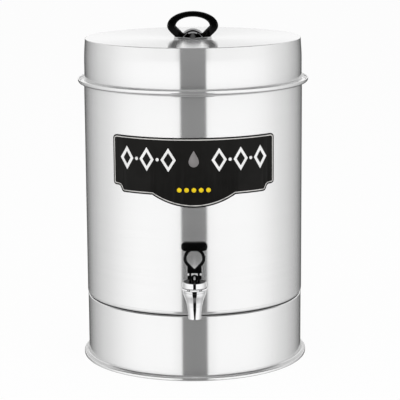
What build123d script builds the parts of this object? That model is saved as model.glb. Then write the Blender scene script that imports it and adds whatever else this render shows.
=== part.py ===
"""Ten-litre cold brew coffee maker: stand, tank, brew basket, lid and self-closing tap.

Millimetres, +Z up.  The origin is the centre of the foot on the surface it stands on.
The tap points to -Y.
"""

from build123d import *
import math
import os

# ------------------------------------------------------------------ driving sizes
# Sheet bends up to this radius are drawn as one flat that starts this share of it from the fold.
TIGHT_BEND = 3.0
BEND_FLAT = 0.7

# Stand: an open ring of sheet with a wired foot and an inward seat at its top.
STAND_HEIGHT = 73.5
STAND_SHEET = 1.0
STAND_SETBACK = 0.5
STAND_CORNER = 1.5
SEAT_WIDTH = 16.5
SEAT_LIP_DEPTH = 6.0
FOOT_REACH = 5.6
FOOT_BEAD_WIDTH = 3.8
FOOT_BEAD_HEIGHT = 4.6
FOOT_BEAD_EDGE = 1.1
FOOT_SHELF_DROP = 1.4
FOOT_BEND = 2.6

# Tank: a rolled wall butt-welded to a pressed floor pan.
TANK_RADIUS = 125.0
TANK_SHEET = 0.8
TANK_DEPTH = 247.1
TANK_CORNER = 4.5
WELD_LAND = 0.6
PAN_STEP_DEPTH = 6.0
PAN_STEP_PLAY = 1.5
RIM_REACH = 7.0
RIM_BEND = 2.6
RIM_LIP_HEIGHT = 4.1
RIM_LIP_BEND = 1.0
RIM_HEM_WIDTH = 1.5
RIM_HEM_HEIGHT = 1.8
RIM_HEM_EDGE = 0.35

# Basket: a flanged collar that carries a windowed cage lined with woven wire.
BASKET_SHEET = 0.8
BASKET_WALL_PLAY = 1.0
BASKET_FLANGE_PLAY = 1.2
COLLAR_DEPTH = 25.0
COLLAR_BEND = 1.6
BASKET_DEPTH = 181.4
CAGE_LAP = 4.0
CAGE_HOOP = 7.0
CAGE_RIB = 9.0
CAGE_COLUMNS = 8
CAGE_ROWS = 2
CAGE_WINDOW_CORNER = 5.0
MESH_THICKNESS = 0.4
FLOOR_EDGE_HEIGHT = 5.5
FLOOR_HUB_RADIUS = 24.0
FLOOR_RING_WIDTH = 12.0
FLOOR_SPOKE = 7.0
FLOOR_SPOKES = 6
FLOOR_WINDOW_CORNER = 3.0
MESH_END_GAP = 0.5

# Basket handles: two wire loops that hang inside the basket.
HANDLE_WIRE_RADIUS = 1.75
HANDLE_SPAN = 50.0
HANDLE_DROP = 42.0
HANDLE_END = 8.5
HANDLE_LUG_GAP = 1.2
HANDLE_END_BEND = 4.0
HANDLE_GRIP_BEND = 8.0
HANDLE_INSET = 9.9
HANDLE_PIVOT_BELOW_FLANGE = 12.4
LUG_THICKNESS = 2.0
LUG_EYE_RADIUS = 4.0

# Lid: a deep cap that stands on the basket's flange inside the tank's lip.
LID_DEPTH = 49.6
LID_SHEET = 0.8
LID_SETBACK = 0.5
LID_CORNER = 2.2
LID_DRAFT = 1.3
LID_DRAFT_DEPTH = 20.0
LID_HEM = 4.2
LID_HEM_BEND = 3.0

# Lid handle: a steel dish, a black loop on a puck, a chrome cap and a screw from below.
DISH_RADIUS = 21.8
DISH_SHEET = 0.8
DISH_RIM_HEIGHT = 0.9
DISH_RIM_RUN = 1.2
LOOP_HALF_WIDTH = 29.2
LOOP_HEIGHT = 28.0
LOOP_WIDEST_HEIGHT = 11.2
LOOP_LOWER_REACH = 15.0
LOOP_TOP_THICKNESS = 6.3
LOOP_SIDE_THICKNESS = 9.8
LOOP_HOLE_LOW_HALF_WIDTH = 9.6
LOOP_DEPTH = 11.6
LOOP_EDGE = 1.5
PUCK_RADIUS = 12.9
PUCK_HEIGHT = 0.8
CAP_RADIUS = 13.5
CAP_HEIGHT = 8.4
CAP_EDGE = 0.6
CAP_FLATS = 4
CAP_GAP = 0.3
LID_SCREW_RADIUS = 2.5
LID_SCREW_HEAD_RADIUS = 4.6
LID_SCREW_HEAD_HEIGHT = 3.0
LID_SCREW_GRIP = 5.2
LID_SCREW_SLOT = 1.2
LID_WASHER_RADIUS = 8.0
LID_WASHER_THICKNESS = 1.2

# Label: a thin plate on the tank's front; widths run round the wall.
LABEL_WIDTH = 197.0
LABEL_TOP = 293.4
LABEL_STEP = 238.3
LABEL_STEP_INSET = 10.0
LABEL_LOW = 231.2
LABEL_LOW_INSET = 3.5
LABEL_BULGE_SHARE = 0.475
LABEL_BULGE_DROP = 12.9
LABEL_CORNER = 4.4
LABEL_STEP_ROUNDING = 3.2
LABEL_THICKNESS = 0.4
LABEL_BOND = 0.25

# Tap: shank through the tank wall, spout, bonnet, spring-closed stem and tilting lever.
TAP_REACH = 40.0
TAP_HEIGHT = 103.5
SHANK_RADIUS = 7.9
SHANK_BORE = 4.5
SHANK_INSIDE = 12.0
SHANK_HOLE_PLAY = 0.3
SHOULDER_RADIUS = 12.0
SHOULDER_THICKNESS = 3.0
GASKET_RADIUS = 12.6
GASKET_THICKNESS = 2.2
NUT_ACROSS_FLATS = 24.0
NUT_THICKNESS = 5.5
SPOUT_TIP_RADIUS = 6.75
SPOUT_TIP_DROP = 22.0
SPOUT_WAIST_RADIUS = 7.5
SPOUT_WAIST_DROP = 12.5
SPOUT_NECK_RADIUS = 8.9
SPOUT_NECK_DROP = 2.9
SPOUT_SHOULDER_RADIUS = 12.1
SPOUT_SHOULDER_RISE = 5.0
SPOUT_BORE = 4.8
CHAMBER_RADIUS = 7.4
CHAMBER_FLOOR_DROP = 3.6
SEAT_CONE_DEPTH = 2.6
BODY_NECK_RADIUS = 10.9
BODY_TOP_RISE = 14.0
BONNET_FOOT_RISE = 8.2
BONNET_FOOT_RADIUS = 12.5
BONNET_BEAD_RISE = 11.5
BONNET_BEAD_RADIUS = 14.1
BONNET_BEAD_HEIGHT = 2.4
BONNET_BARREL_RADIUS = 13.2
BONNET_TOP_RADIUS = 12.4
BONNET_TOP_RISE = 19.7
BONNET_LEDGE = 1.9
BONNET_LEDGE_BORE = 8.9
INSERT_RADIUS = 11.5
INSERT_TOP_RISE = 19.4
INSERT_PILOT_PLAY = 0.2
INSERT_PILOT_DEPTH = 3.4
STEM_RADIUS = 2.2
STEM_HEAD_RADIUS = 3.1
STEM_HEAD_LIFT = 0.3
STEM_HEAD_RISE = 3.0
STEM_HEAD_EDGE = 1.0
PIVOT_RISE = 23.9
PIN_RADIUS = 1.5
PIN_HEAD_RADIUS = 2.0
PIN_HALF_LENGTH = 7.6
CUP_RADIUS = 6.3
CUP_HEIGHT = 7.0
CUP_TIP_RADIUS = 4.2
CUP_SOCKET_DEPTH = 5.0
CUP_SEAT_GAP = 0.15
SPRING_WIRE = 0.8
SPRING_MEAN_RADIUS = 4.6
SPRING_TURNS = 4.0

# Lever: fork, teardrop loop and thumb bar in one moulding.
LEVER_LIFT_PER_TURN = 28.0
LEVER_TILT = 45.0
CAM_GAP = 0.2
CAM_STOP_LENGTH = 2.2
FORK_HALF_WIDTH = 5.75
FORK_SLOT_HALF_WIDTH = 3.4
FORK_SLOT_TOP = 5.9
FORK_HEEL = 4.0
FORK_TOE = 1.5
NECK_HALF_WIDTH = 7.0
NECK_LOW = 5.2
NECK_HIGH = 9.6
LEVER_HALF_DEPTH = 3.1
LOOP_RISE = 21.6
LOOP_OUTER_RADIUS = 11.3
LOOP_HOLE_RADIUS = 8.6
LOOP_HOLE_POINT = 12.3
BAR_HALF_LENGTH = 14.2
BAR_RISE = 34.6
BAR_HEIGHT = 8.6
BAR_DEPTH = 8.6
BAR_EDGE = 2.2

# Named clearances.
RUNNING_FIT = 0.06
SCREW_FIT = 0.1
THREAD_FIT = 0.1

# ------------------------------------------------------------------ derived levels and radii
SEAT_Z = STAND_HEIGHT
STAND_RADIUS = TANK_RADIUS - STAND_SETBACK
SEAT_HOLE_RADIUS = STAND_RADIUS - SEAT_WIDTH
TANK_INSIDE = TANK_RADIUS - TANK_SHEET
WELD_Z = SEAT_Z + TANK_CORNER + WELD_LAND
SHELF_Z = SEAT_Z + TANK_DEPTH
RIM_RADIUS = TANK_RADIUS + RIM_REACH

FLANGE_TOP = SHELF_Z + BASKET_SHEET
FLANGE_RADIUS = RIM_RADIUS - TANK_SHEET - BASKET_FLANGE_PLAY
COLLAR_RADIUS = TANK_INSIDE - BASKET_WALL_PLAY
COLLAR_INSIDE = COLLAR_RADIUS - BASKET_SHEET
COLLAR_LOW = FLANGE_TOP - COLLAR_DEPTH
CAGE_INSIDE = COLLAR_INSIDE - BASKET_SHEET
CAGE_TOP = COLLAR_LOW + CAGE_LAP
BASKET_LOW = FLANGE_TOP - BASKET_DEPTH

HANDLE_X = COLLAR_INSIDE - HANDLE_INSET
HANDLE_Z = FLANGE_TOP - HANDLE_PIVOT_BELOW_FLANGE
LUG_Y = HANDLE_SPAN / 2 + HANDLE_END_BEND + HANDLE_LUG_GAP + LUG_THICKNESS / 2

LID_RADIUS = TANK_RADIUS - LID_SETBACK
LID_TOP = FLANGE_TOP + LID_DEPTH
DISH_TOP = LID_TOP + DISH_SHEET
PUCK_TOP = DISH_TOP + PUCK_HEIGHT

TAP_Y = -(TANK_RADIUS + TAP_REACH)
SHOULDER_Y = -(TANK_RADIUS + GASKET_THICKNESS)
NUT_Y = -(TANK_INSIDE - GASKET_THICKNESS)
SHANK_END_Y = -(TANK_RADIUS - SHANK_INSIDE)
CHAMBER_FLOOR = TAP_HEIGHT - CHAMBER_FLOOR_DROP
BODY_TOP = TAP_HEIGHT + BODY_TOP_RISE
LEDGE_TOP = BODY_TOP + BONNET_LEDGE
INSERT_TOP = TAP_HEIGHT + INSERT_TOP_RISE
PILOT_LOW = LEDGE_TOP - INSERT_PILOT_DEPTH
PIVOT_Z = TAP_HEIGHT + PIVOT_RISE
CUP_LOW = CHAMBER_FLOOR - SEAT_CONE_DEPTH + CUP_SEAT_GAP
CUP_TOP = CUP_LOW + CUP_HEIGHT
LIFT_PER_RADIAN = LEVER_LIFT_PER_TURN / (2 * math.pi)


# ------------------------------------------------------------------ shaping helpers
def spun(face, axis_y=0.0):
    """Turn a face drawn in radius and height once round the vertical line at y axis_y."""
    return Pos(0, axis_y, 0) * revolve(Plane.XZ * face, Axis.Z)


def outline(*points):
    """Flat face inside a closed run of straight lines."""
    return make_face(Polyline(*points, close=True))


def bent_sheet(points, bends, thickness):
    """Section of bent sheet: points follow its shown skin and the metal lies on their left.

    Each inner point has its bend's radius on that skin, or 0 for a plain fold.  Tight bends
    are one flat, and the hidden skin keeps plain folds.
    """
    skin = Polyline(*points)
    section = offset(
        skin, amount=thickness, side=Side.LEFT, kind=Kind.INTERSECTION, closed=True
    )
    section = make_face(section)
    for point, bend in zip(points[1:-1], bends):
        if bend:
            corner = section.vertices().sort_by_distance((*point, 0))[0]
            tight = bend <= TIGHT_BEND
            section = chamfer(corner, BEND_FLAT * bend) if tight else fillet(corner, bend)
    return section


def rod(radius, low, high, axis_y=0.0):
    """Upright round rod between two heights."""
    return Pos(0, axis_y, low) * extrude(Circle(radius), high - low)


def cross_rod(radius, front, back, height):
    """Round rod lying along Y between two places."""
    start = Plane((0, front, height), x_dir=(1, 0, 0), z_dir=(0, 1, 0))
    return extrude(start * Circle(radius), back - front)


def across(face, half_width, centre_y, centre_z):
    """Extrude a face drawn in Y and Z to equal widths each side of the middle plane."""
    plane = Plane((-half_width, centre_y, centre_z), x_dir=(0, 1, 0), z_dir=(1, 0, 0))
    return extrude(plane * face, 2 * half_width)


def upright(face, half_depth, centre_y, centre_z):
    """Extrude a face drawn in X and Z to equal depths each side of its middle plane."""
    plane = Plane((0, centre_y + half_depth, centre_z), x_dir=(1, 0, 0), z_dir=(0, -1, 0))
    return extrude(plane * face, 2 * half_depth)


def arc_x(width):
    """X of the edge of a band of this full width wrapped round the tank's front."""
    return TANK_RADIUS * math.sin(width / 2 / TANK_RADIUS)


# ------------------------------------------------------------------ stand
def stand_shell():
    shelf = FOOT_BEAD_HEIGHT - FOOT_SHELF_DROP
    bead_outer = STAND_RADIUS + FOOT_REACH
    bead_centre = bead_outer - FOOT_BEAD_WIDTH / 2
    wall = bent_sheet(
        [
            (bead_centre, shelf),
            (STAND_RADIUS, shelf),
            (STAND_RADIUS, SEAT_Z),
            (SEAT_HOLE_RADIUS, SEAT_Z),
            (SEAT_HOLE_RADIUS, SEAT_Z - SEAT_LIP_DEPTH),
        ],
        [FOOT_BEND, STAND_CORNER, 0],
        STAND_SHEET,
    )
    bead = Pos(bead_centre, FOOT_BEAD_HEIGHT / 2) * Rectangle(FOOT_BEAD_WIDTH, FOOT_BEAD_HEIGHT)
    outer_corners = bead.vertices().group_by(Axis.X)[-1]
    bead = chamfer(outer_corners, FOOT_BEAD_EDGE)
    return spun(wall + bead)


# ------------------------------------------------------------------ tank
def tank_wall():
    shelf_low = SHELF_Z - TANK_SHEET
    lip_top = SHELF_Z + RIM_LIP_HEIGHT
    section = bent_sheet(
        [
            (TANK_RADIUS, WELD_Z),
            (TANK_RADIUS, shelf_low),
            (RIM_RADIUS, shelf_low),
            (RIM_RADIUS, lip_top),
        ],
        [RIM_BEND, RIM_LIP_BEND],
        TANK_SHEET,
    )
    hem = Pos(RIM_RADIUS - RIM_HEM_WIDTH / 2, lip_top - RIM_HEM_HEIGHT / 2)
    hem = hem * Rectangle(RIM_HEM_WIDTH, RIM_HEM_HEIGHT)
    hem = chamfer(hem.vertices().group_by(Axis.Y)[-1], RIM_HEM_EDGE)
    wall = spun(section + hem)
    tap_hole = cross_rod(
        SHANK_RADIUS + SHANK_HOLE_PLAY, -(TANK_RADIUS + 1), -(TANK_RADIUS / 2), TAP_HEIGHT
    )
    return wall - tap_hole


def tank_floor():
    step_radius = SEAT_HOLE_RADIUS - PAN_STEP_PLAY
    step_low = SEAT_Z - PAN_STEP_DEPTH
    return spun(
        bent_sheet(
            [
                (0, step_low),
                (step_radius, step_low),
                (step_radius, SEAT_Z),
                (TANK_RADIUS, SEAT_Z),
                (TANK_RADIUS, WELD_Z),
            ],
            [0, 0, TANK_CORNER],
            TANK_SHEET,
        )
    )


def label_outline():
    """Front view of the label: straight top, stepped lower corners and a hanging bulge."""
    step_width = LABEL_WIDTH - 2 * LABEL_STEP_INSET
    low_width = step_width - 2 * LABEL_LOW_INSET
    right = [
        (arc_x(LABEL_WIDTH * LABEL_BULGE_SHARE), LABEL_LOW),
        (arc_x(low_width), LABEL_LOW),
        (arc_x(step_width), LABEL_STEP),
        (arc_x(LABEL_WIDTH), LABEL_STEP),
        (arc_x(LABEL_WIDTH), LABEL_TOP),
    ]
    left = [(-x, z) for x, z in reversed(right)]
    bulge = ThreePointArc(left[-1], (0, LABEL_LOW - LABEL_BULGE_DROP), right[0])
    face = make_face([Polyline(*right, *left), bulge])
    corners = face.vertices()
    top = [v for v in corners if abs(v.Y - LABEL_TOP) < 1e-6]
    low = [v for v in corners if abs(v.Y - LABEL_TOP) > 1e-6 and abs(v.X) > right[0][0] + 1]
    face = fillet(top, LABEL_CORNER)
    low = [v for v in face.vertices() if any(v.distance_to(old) < 1e-6 for old in low)]
    return fillet(low, LABEL_STEP_ROUNDING)


def front_label():
    block = Plane.XZ * label_outline()
    block = extrude(block, TANK_RADIUS + 5)
    outer = rod(TANK_RADIUS + LABEL_BOND + LABEL_THICKNESS, 0, SHELF_Z)
    inner = rod(TANK_RADIUS + LABEL_BOND, 0, SHELF_Z)
    return block & (outer - inner)


# ------------------------------------------------------------------ tap
def tap_body():
    tip_z = TAP_HEIGHT - SPOUT_TIP_DROP
    waist_z = TAP_HEIGHT - SPOUT_WAIST_DROP
    neck_z = TAP_HEIGHT - SPOUT_NECK_DROP
    shoulder_z = TAP_HEIGHT + SPOUT_SHOULDER_RISE
    foot_z = TAP_HEIGHT + BONNET_FOOT_RISE
    section = outline(
        (SPOUT_TIP_RADIUS, tip_z),
        (SPOUT_WAIST_RADIUS, waist_z),
        (SPOUT_NECK_RADIUS, neck_z),
        (SPOUT_SHOULDER_RADIUS, shoulder_z),
        (SPOUT_SHOULDER_RADIUS, foot_z - RUNNING_FIT),
        (BODY_NECK_RADIUS, foot_z - RUNNING_FIT),
        (BODY_NECK_RADIUS, BODY_TOP),
        (0, BODY_TOP),
        (0, tip_z),
    )
    body = spun(section, TAP_Y)
    body += cross_rod(SHANK_RADIUS, TAP_Y, SHANK_END_Y, TAP_HEIGHT)
    body += cross_rod(
        SHOULDER_RADIUS, SHOULDER_Y - SHOULDER_THICKNESS, SHOULDER_Y, TAP_HEIGHT
    )
    chamber = outline(
        (0, tip_z - 1),
        (SPOUT_BORE, tip_z - 1),
        (SPOUT_BORE, CHAMBER_FLOOR - SEAT_CONE_DEPTH),
        (CHAMBER_RADIUS, CHAMBER_FLOOR),
        (CHAMBER_RADIUS, BODY_TOP + 1),
        (0, BODY_TOP + 1),
    )
    body -= spun(chamber, TAP_Y)
    return body - cross_rod(SHANK_BORE, TAP_Y, SHANK_END_Y + 1, TAP_HEIGHT)


def gasket(radius, flat_y, wall_radius, keep_outside):
    """Rubber ring between a flat shoulder and the tank's round wall."""
    flat_to_axis = cross_rod(radius, flat_y, flat_y / 2, TAP_HEIGHT)
    wall_to_flat = cross_rod(radius, -(wall_radius + 1), flat_y, TAP_HEIGHT)
    wall = rod(wall_radius, TAP_HEIGHT - 2 * radius, TAP_HEIGHT + 2 * radius)
    ring = flat_to_axis - wall if keep_outside else wall_to_flat & wall
    hole = cross_rod(SHANK_RADIUS + THREAD_FIT, -(wall_radius + 9), flat_y / 2, TAP_HEIGHT)
    return ring - hole


def tap_gasket_outer():
    return gasket(GASKET_RADIUS, SHOULDER_Y, TANK_RADIUS, True)


def tap_gasket_inner():
    return gasket(GASKET_RADIUS, NUT_Y, TANK_INSIDE, False)


def tap_lock_nut():
    face = Plane((0, NUT_Y, TAP_HEIGHT), x_dir=(1, 0, 0), z_dir=(0, 1, 0))
    hexagon = RegularPolygon(NUT_ACROSS_FLATS / 2, 6, major_radius=False)
    hexagon -= Circle(SHANK_RADIUS + THREAD_FIT)
    return extrude(face * hexagon, NUT_THICKNESS)


def tap_bonnet():
    foot = TAP_HEIGHT + BONNET_FOOT_RISE
    bead_low = TAP_HEIGHT + BONNET_BEAD_RISE - BONNET_BEAD_HEIGHT / 2
    bead_high = bead_low + BONNET_BEAD_HEIGHT
    top = TAP_HEIGHT + BONNET_TOP_RISE
    bead_root = BONNET_BEAD_RADIUS - BONNET_BEAD_HEIGHT / 3
    section = outline(
        (BONNET_FOOT_RADIUS, foot),
        (bead_root, bead_low),
        (BONNET_BEAD_RADIUS, (bead_low + bead_high) / 2),
        (bead_root, bead_high),
        (BONNET_BARREL_RADIUS, (bead_high + top) / 2),
        (BONNET_TOP_RADIUS, top),
        (INSERT_RADIUS + RUNNING_FIT, top),
        (INSERT_RADIUS + RUNNING_FIT, LEDGE_TOP),
        (BONNET_LEDGE_BORE, LEDGE_TOP),
        (BONNET_LEDGE_BORE, BODY_TOP),
        (BODY_NECK_RADIUS + THREAD_FIT, BODY_TOP),
        (BODY_NECK_RADIUS + THREAD_FIT, foot),
    )
    return spun(section, TAP_Y)


def tap_bonnet_insert():
    return spun(
        outline(
            (STEM_RADIUS + RUNNING_FIT, PILOT_LOW),
            (CHAMBER_RADIUS - INSERT_PILOT_PLAY, PILOT_LOW),
            (CHAMBER_RADIUS - INSERT_PILOT_PLAY, LEDGE_TOP),
            (INSERT_RADIUS, LEDGE_TOP),
            (INSERT_RADIUS, INSERT_TOP),
            (STEM_RADIUS + RUNNING_FIT, INSERT_TOP),
        ),
        TAP_Y,
    )


def tap_stem():
    """Upright stem with a thicker head that carries the pivot pin."""
    head_low = INSERT_TOP + STEM_HEAD_LIFT
    stem = rod(STEM_RADIUS, CUP_TOP - CUP_SOCKET_DEPTH, head_low, TAP_Y)
    head = rod(STEM_HEAD_RADIUS, head_low, PIVOT_Z + STEM_HEAD_RISE, TAP_Y)
    head = chamfer(head.edges().group_by(Axis.Z)[-1], STEM_HEAD_EDGE)
    eye = across(Circle(PIN_RADIUS + RUNNING_FIT), STEM_HEAD_RADIUS + 1, TAP_Y, PIVOT_Z)
    return stem + head - eye


def tap_seat_cup():
    """Silicone cup that closes the spout's conical seat."""
    cone_top = CHAMBER_FLOOR + CUP_SEAT_GAP
    socket_low = CUP_TOP - CUP_SOCKET_DEPTH
    return spun(
        outline(
            (0, CUP_LOW),
            (CUP_TIP_RADIUS, CUP_LOW),
            (CUP_RADIUS, cone_top),
            (CUP_RADIUS, CUP_TOP),
            (STEM_RADIUS, CUP_TOP),
            (STEM_RADIUS, socket_low),
            (0, socket_low),
        ),
        TAP_Y,
    )


def tap_spring():
    """Flat-wire spring between the cup and the underside of the insert."""
    low = CUP_TOP + SPRING_WIRE / 2
    high = PILOT_LOW - SPRING_WIRE / 2
    coil = Helix((high - low) / SPRING_TURNS, high - low, SPRING_MEAN_RADIUS)
    wire = Plane((SPRING_MEAN_RADIUS, 0, 0), x_dir=(1, 0, 0), z_dir=(0, 1, 0))
    spring = sweep(wire * Rectangle(SPRING_WIRE, SPRING_WIRE), path=coil, is_frenet=True)
    return Pos(0, TAP_Y, low) * spring


def cam_points(steps=6):
    """Involute foot of the lever about its pivot: each degree lifts the stem by the same amount."""
    rest = PIVOT_Z - INSERT_TOP - CAM_GAP
    points = []
    for step in range(steps + 1):
        angle = math.radians(LEVER_TILT) * step / steps
        reach = rest + LIFT_PER_RADIAN * angle
        forward = -reach * math.sin(angle) - LIFT_PER_RADIAN * math.cos(angle)
        height = -reach * math.cos(angle) + LIFT_PER_RADIAN * math.sin(angle)
        points.append((forward, height))
    return points


def lever_fork():
    """Two cam-footed legs that straddle the stem's head, seen from the side."""
    cam = cam_points()
    slope = math.radians(LEVER_TILT)
    stop = (
        cam[-1][0] - CAM_STOP_LENGTH * math.cos(slope),
        cam[-1][1] + CAM_STOP_LENGTH * math.sin(slope),
    )
    foot = Spline(*cam, tangents=[(-1, 0), (-math.cos(slope), math.sin(slope))])
    side = Polyline(
        cam[-1],
        stop,
        (-LEVER_HALF_DEPTH - FORK_TOE, NECK_LOW),
        (-LEVER_HALF_DEPTH, NECK_HIGH),
        (LEVER_HALF_DEPTH, NECK_HIGH),
        (LEVER_HALF_DEPTH, NECK_LOW),
        (FORK_HEEL, FORK_HEEL / 2),
        (FORK_HEEL, cam[0][1]),
        cam[0],
    )
    fork = across(make_face([foot, side]), FORK_HALF_WIDTH, TAP_Y, PIVOT_Z)
    slot_top = PIVOT_Z + FORK_SLOT_TOP
    slot_low = PIVOT_Z + 2 * cam[0][1]
    slot = Pos(0, TAP_Y, (slot_top + slot_low) / 2) * Box(
        2 * FORK_SLOT_HALF_WIDTH, 8 * LEVER_HALF_DEPTH, slot_top - slot_low
    )
    return fork - slot


def teardrop(radius, point_drop):
    """Round eye that runs down to a point, about the eye's centre."""
    tangent_angle = math.acos(radius / point_drop)
    touch = (radius * math.sin(tangent_angle), -radius * math.cos(tangent_angle))
    drop = outline((0, -point_drop), touch, (0, 0), (-touch[0], touch[1]))
    return Circle(radius) + drop


def tap_lever():
    neck_low = NECK_LOW - LOOP_RISE
    neck_high = -math.sqrt(LOOP_OUTER_RADIUS**2 - NECK_HALF_WIDTH**2)
    neck = Pos(0, (neck_low + neck_high) / 2) * Rectangle(
        2 * NECK_HALF_WIDTH, neck_high - neck_low
    )
    plate = Circle(LOOP_OUTER_RADIUS) + neck - teardrop(LOOP_HOLE_RADIUS, LOOP_HOLE_POINT)
    plate = upright(plate, LEVER_HALF_DEPTH, TAP_Y, PIVOT_Z + LOOP_RISE)
    bar = SlotOverall(2 * BAR_HALF_LENGTH, BAR_HEIGHT)
    bar = upright(bar, BAR_DEPTH / 2, TAP_Y, PIVOT_Z + BAR_RISE)
    bar = chamfer(bar.edges().filter_by(Axis.Y, reverse=True), BAR_EDGE)
    lever = plate + bar + lever_fork()
    bore = across(Circle(PIN_RADIUS), FORK_HALF_WIDTH + 1, TAP_Y, PIVOT_Z)
    return lever - bore


def tap_pivot_pin():
    """Riveted pin: heads outside the fork, shank through both legs and the stem's eye."""
    shank = across(Circle(PIN_RADIUS), FORK_HALF_WIDTH, TAP_Y, PIVOT_Z)
    heads = across(Circle(PIN_HEAD_RADIUS), PIN_HALF_LENGTH, TAP_Y, PIVOT_Z)
    heads -= across(Circle(PIN_HEAD_RADIUS + 1), FORK_HALF_WIDTH, TAP_Y, PIVOT_Z)
    return shank + heads


# ------------------------------------------------------------------ basket
def basket_rim():
    """Flange that hangs on the tank's shelf, turned down into a collar."""
    return spun(
        bent_sheet(
            [
                (FLANGE_RADIUS, FLANGE_TOP),
                (COLLAR_INSIDE, FLANGE_TOP),
                (COLLAR_INSIDE, COLLAR_LOW),
            ],
            [COLLAR_BEND],
            BASKET_SHEET,
        )
    )


def basket_cage():
    """Sheet cylinder with rows of cut-cornered windows between ribs and hoops."""
    cage = rod(COLLAR_INSIDE, BASKET_LOW, CAGE_TOP) - rod(CAGE_INSIDE, BASKET_LOW, CAGE_TOP)
    row_pitch = (COLLAR_LOW - BASKET_LOW - CAGE_HOOP) / CAGE_ROWS
    pitch = 2 * math.pi * COLLAR_INSIDE / CAGE_COLUMNS
    window = Rectangle(pitch - CAGE_RIB, row_pitch - CAGE_HOOP)
    window = chamfer(window.vertices(), CAGE_WINDOW_CORNER)
    start = Plane((CAGE_INSIDE / 2, 0, 0), x_dir=(0, 1, 0), z_dir=(1, 0, 0))
    punch = extrude(start * window, COLLAR_INSIDE)
    for row in range(CAGE_ROWS):
        middle = BASKET_LOW + CAGE_HOOP / 2 + row_pitch * (row + 0.5)
        for column in range(CAGE_COLUMNS):
            turn = 360 * (column + 0.5) / CAGE_COLUMNS
            cage -= Rot(0, 0, turn) * Pos(0, 0, middle) * punch
    return cage


def basket_mesh():
    low = BASKET_LOW + FLOOR_EDGE_HEIGHT + MESH_END_GAP
    high = CAGE_TOP - MESH_END_GAP
    return rod(CAGE_INSIDE, low, high) - rod(CAGE_INSIDE - MESH_THICKNESS, low, high)


def basket_floor():
    """Spoked pan whose turned-up edge is welded inside the cage."""
    pan = spun(
        bent_sheet(
            [
                (0, BASKET_LOW),
                (CAGE_INSIDE, BASKET_LOW),
                (CAGE_INSIDE, BASKET_LOW + FLOOR_EDGE_HEIGHT),
            ],
            [0],
            BASKET_SHEET,
        )
    )
    windows = Circle(CAGE_INSIDE - FLOOR_RING_WIDTH) - Circle(FLOOR_HUB_RADIUS)
    spoke = Pos(CAGE_INSIDE / 2, 0) * Rectangle(CAGE_INSIDE, FLOOR_SPOKE)
    for index in range(FLOOR_SPOKES):
        windows -= Rot(0, 0, 360 * index / FLOOR_SPOKES) * spoke
    windows = chamfer(windows.vertices(), FLOOR_WINDOW_CORNER)
    return pan - Pos(0, 0, BASKET_LOW - 1) * extrude(windows, BASKET_SHEET + 2)


def basket_floor_mesh():
    low = BASKET_LOW + BASKET_SHEET
    return rod(CAGE_INSIDE - BASKET_SHEET - MESH_END_GAP, low, low + MESH_THICKNESS)


def basket_lugs():
    """Four lugs welded to the collar that hold the handles' ends."""
    arm = COLLAR_RADIUS - HANDLE_X
    side = Circle(LUG_EYE_RADIUS) + Pos(arm / 2, 0) * Rectangle(arm, 2 * LUG_EYE_RADIUS)
    side -= Circle(HANDLE_WIRE_RADIUS + RUNNING_FIT)
    inside = rod(COLLAR_INSIDE, HANDLE_Z - 2 * LUG_EYE_RADIUS, HANDLE_Z + 2 * LUG_EYE_RADIUS)
    lugs = []
    for way in (1, -1):
        for place in (-LUG_Y, LUG_Y):
            corner = (way * HANDLE_X, place + way * LUG_THICKNESS / 2, HANDLE_Z)
            plane = Plane(corner, x_dir=(way, 0, 0), z_dir=(0, -way, 0))
            lugs.append(extrude(plane * side, LUG_THICKNESS) & inside)
    return Compound(children=[piece for lug in lugs for piece in lug.solids()])


def basket_handle(way):
    """Wire loop hanging from its two turned-out ends; way is 1 on the right, -1 on the left.

    Each bend is one mitred flat.
    """
    half = HANDLE_SPAN / 2
    centre = Plane((way * HANDLE_X, 0, HANDLE_Z), x_dir=(0, 1, 0), z_dir=(1, 0, 0))
    right = [
        (half - HANDLE_GRIP_BEND, -HANDLE_DROP),
        (half, HANDLE_GRIP_BEND - HANDLE_DROP),
        (half, -HANDLE_END_BEND),
        (half + HANDLE_END_BEND, 0),
        (half + HANDLE_END, 0),
    ]
    left = [(-y, z) for y, z in reversed(right)]
    path = centre * Polyline(*left, *right)
    section = Plane(path @ 0, z_dir=path % 0) * Circle(HANDLE_WIRE_RADIUS)
    return sweep(section, path=path, transition=Transition.RIGHT)


# ------------------------------------------------------------------ lid
def lid_shell():
    hem_top = FLANGE_TOP + LID_SHEET
    shell = spun(
        bent_sheet(
            [
                (LID_RADIUS + LID_HEM, hem_top),
                (LID_RADIUS, hem_top),
                (LID_RADIUS, LID_TOP - LID_DRAFT_DEPTH),
                (LID_RADIUS - LID_DRAFT, LID_TOP),
                (0, LID_TOP),
            ],
            [LID_HEM_BEND, 0, LID_CORNER],
            LID_SHEET,
        )
    )
    return shell - rod(LID_SCREW_RADIUS + SCREW_FIT, LID_TOP - 2 * LID_SHEET, LID_TOP + 1)


def lid_handle_dish():
    hole = LID_SCREW_RADIUS + SCREW_FIT
    return spun(
        bent_sheet(
            [
                (hole, LID_TOP),
                (DISH_RADIUS - DISH_RIM_RUN, LID_TOP),
                (DISH_RADIUS, LID_TOP + DISH_RIM_HEIGHT),
            ],
            [0],
            DISH_SHEET,
        )
    )


def egg(half_width, upper, lower):
    """Closed outline of two half ellipses of one width that meet at its widest level."""
    top = EllipticalCenterArc((0, 0), half_width, upper, start_angle=0, arc_size=180)
    bottom = EllipticalCenterArc((0, 0), half_width, lower, start_angle=180, arc_size=180)
    return make_face([top, bottom])


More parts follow.
